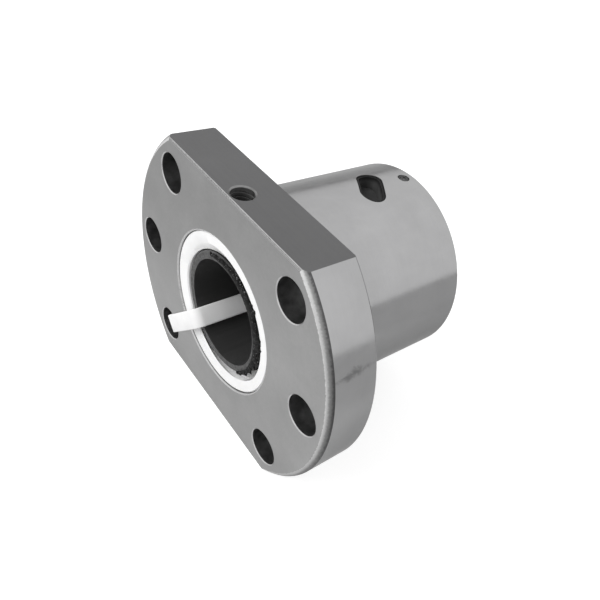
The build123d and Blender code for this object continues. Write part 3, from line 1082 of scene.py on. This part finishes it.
def greaseRing(look):
    deselectAll()
    bpy.ops.mesh.primitive_torus_add(
        major_segments=look["segments"], minor_segments=12, major_radius=look["ringRadius"] / 1000,
        minor_radius=look["ringThickness"] / 2000, rotation=(math.pi / 2, 0, 0))
    ring = bpy.context.object
    ring.name = "wiperGrease"
    applyPlace(ring)
    firstTurn, lastTurn = look["outline"][0][0], look["outline"][-1][0]
    pick(ring, "VERT", lambda point: not firstTurn <= greaseTurn(point) <= lastTurn)
    bpy.ops.mesh.delete(type="VERT")
    bpy.ops.mesh.select_all(action="SELECT")
    bpy.ops.mesh.fill_holes(sides=16)
    closePiece()
    return ring


grease = greaseRing(greaseLook)
for vertex in grease.data.vertices:
    vertex.co = greaseCorner(vertex.co * 1000, greaseLook)
settle(grease, greaseLook["smoothAngle"])
dress(grease, greaseBlack)
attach(grease, "nut")
print("grease laid")


cameraView = {  # place in metres, right and up as directions
    "place": mm(81.52, -64.88, 92.02),
    "right": (0.6054, 0.7728, 0.1904),
    "up": (-0.6230, 0.3113, 0.7176),
    "lens": 34.886,
    "sensor": 36,
    "shift": (-0.0555, 0.0329),
    "clip": (0.01, 20),
}
cameraData = bpy.data.cameras.new("camera")
camera = bpy.data.objects.new("camera", cameraData)
bpy.context.collection.objects.link(camera)
right = Vector(cameraView["right"]).normalized()
back = right.cross(Vector(cameraView["up"])).normalized()
turn = Matrix((right, back.cross(right), back)).transposed()
camera.matrix_world = Matrix.Translation(cameraView["place"]) @ turn.to_4x4()
cameraData.lens = cameraView["lens"]
cameraData.sensor_width = cameraView["sensor"]
cameraData.shift_x, cameraData.shift_y = cameraView["shift"]
cameraData.clip_start, cameraData.clip_end = cameraView["clip"]
bpy.context.scene.camera = camera
bpy.context.scene.view_settings.view_transform = "Standard"


floorLook = {  # metres, and strengths where 1 is white
    "height": -0.03102,
    "size": 6.0,
    "shade": 0.52,
    "roughness": 0.9,
    "seenGlow": 0.68,
    "nearGlow": 0.26,
    "nearReach": (0.045, 0.105),
    "backGlow": 0.32,
    "backReach": (0.15, 0.45),
}


# a floor that glows to the eye, and in the metal's reflections only close by and far behind
def studioFloor(look):
    deselectAll()
    bpy.ops.mesh.primitive_plane_add(size=look["size"], location=(0, 0, look["height"]))
    floor = bpy.context.object
    floor.name = "studioFloor"
    pale = newMaterial("paleFloor")
    seen = pale.node("ShaderNodeLightPath").outputs
    direct = pale.math("MAXIMUM", seen["Is Camera Ray"], seen["Is Transmission Ray"])
    x, y, _ = pale.split(pale.place())
    nearGlow = pale.spread(pale.span(x, y), *look["nearReach"], look["nearGlow"], 0.0)
    backGlow = pale.spread(pale.math("SUBTRACT", y, x), *look["backReach"], 0.0, look["backGlow"])
    inMetal = pale.times(seen["Is Glossy Ray"], pale.math("MAXIMUM", nearGlow, backGlow))
    pale.put("Base Color", (look["shade"],) * 3)
    pale.put("Roughness", look["roughness"])
    pale.put("Specular IOR Level", 0.0)
    pale.put("Emission Color", (1.0, 1.0, 1.0))
    pale.put("Emission Strength", pale.plus(pale.times(direct, look["seenGlow"]), inMetal))
    dress(floor, pale.owner)


cardLook = {  # metres
    "place": (-0.92, 0.77, 0.155),
    "size": (1.3, 0.37),
    "shades": (0.95, 0.50),
    "shadeBand": (-0.4, 0.45),  # of its height
    "roughness": 0.9,
}


# a low grey card behind the nut, which only its polished surfaces show
def greyCard(look):
    deselectAll()
    facing = math.atan2(-look["place"][0], look["place"][1])
    bpy.ops.mesh.primitive_plane_add(size=1, location=look["place"], rotation=(math.pi / 2, 0, facing))
    card = bpy.context.object
    card.name = "greyCard"
    card.scale = (*look["size"], 1)
    card.visible_camera = False
    card.visible_diffuse = False
    card.visible_shadow = False
    card.visible_transmission = False
    grey = newMaterial("greyCard")
    height = grey.split(grey.place())[1]
    grey.put("Base Color", grey.tint(grey.spread(height, *look["shadeBand"], *look["shades"])))
    grey.put("Roughness", look["roughness"])
    grey.put("Specular IOR Level", 0.0)
    dress(card, grey.owner)


lightLook = {  # metres and watts
    "worldLight": 0.72,
    "worldSeen": 1.0,
    "lamps": (  # name, place, size and energy
        ("keyLamp", (-0.30, -0.58, 0.62), (0.7, 0.5), 6.2),
        ("fillLamp", (0.7, 0.5, 0.55), (0.6, 0.6), 1.5),
    ),
}


# white where it is seen, and softer where it lights
def studioWorld(look):
    world = bpy.data.worlds.new("studioWorld")
    bpy.context.scene.world = world
    sky = Recipe(world, "Background")
    seen = sky.node("ShaderNodeLightPath").outputs
    inMetalOrGlass = sky.math("MAXIMUM", seen["Is Glossy Ray"], seen["Is Transmission Ray"])
    seenAtAll = sky.math("MAXIMUM", seen["Is Camera Ray"], inMetalOrGlass)
    sky.put("Color", (1.0, 1.0, 1.0))
    sky.put("Strength", sky.spread(seenAtAll, 0.0, 1.0, look["worldLight"], look["worldSeen"]))


def addLamp(name, place, size, energy):
    lamp = bpy.data.lights.new(name, "AREA")
    lamp.shape = "RECTANGLE"
    lamp.size, lamp.size_y = size
    lamp.energy = energy
    holder = bpy.data.objects.new(name, lamp)
    bpy.context.collection.objects.link(holder)
    holder.location = place
    holder.visible_glossy = False
    holder.rotation_euler = (-Vector(place)).to_track_quat("-Z", "Y").to_euler()


studioFloor(floorLook)
greyCard(cardLook)
studioWorld(lightLook)
for lamp in lightLook["lamps"]:
    addLamp(*lamp)
print("studio set")
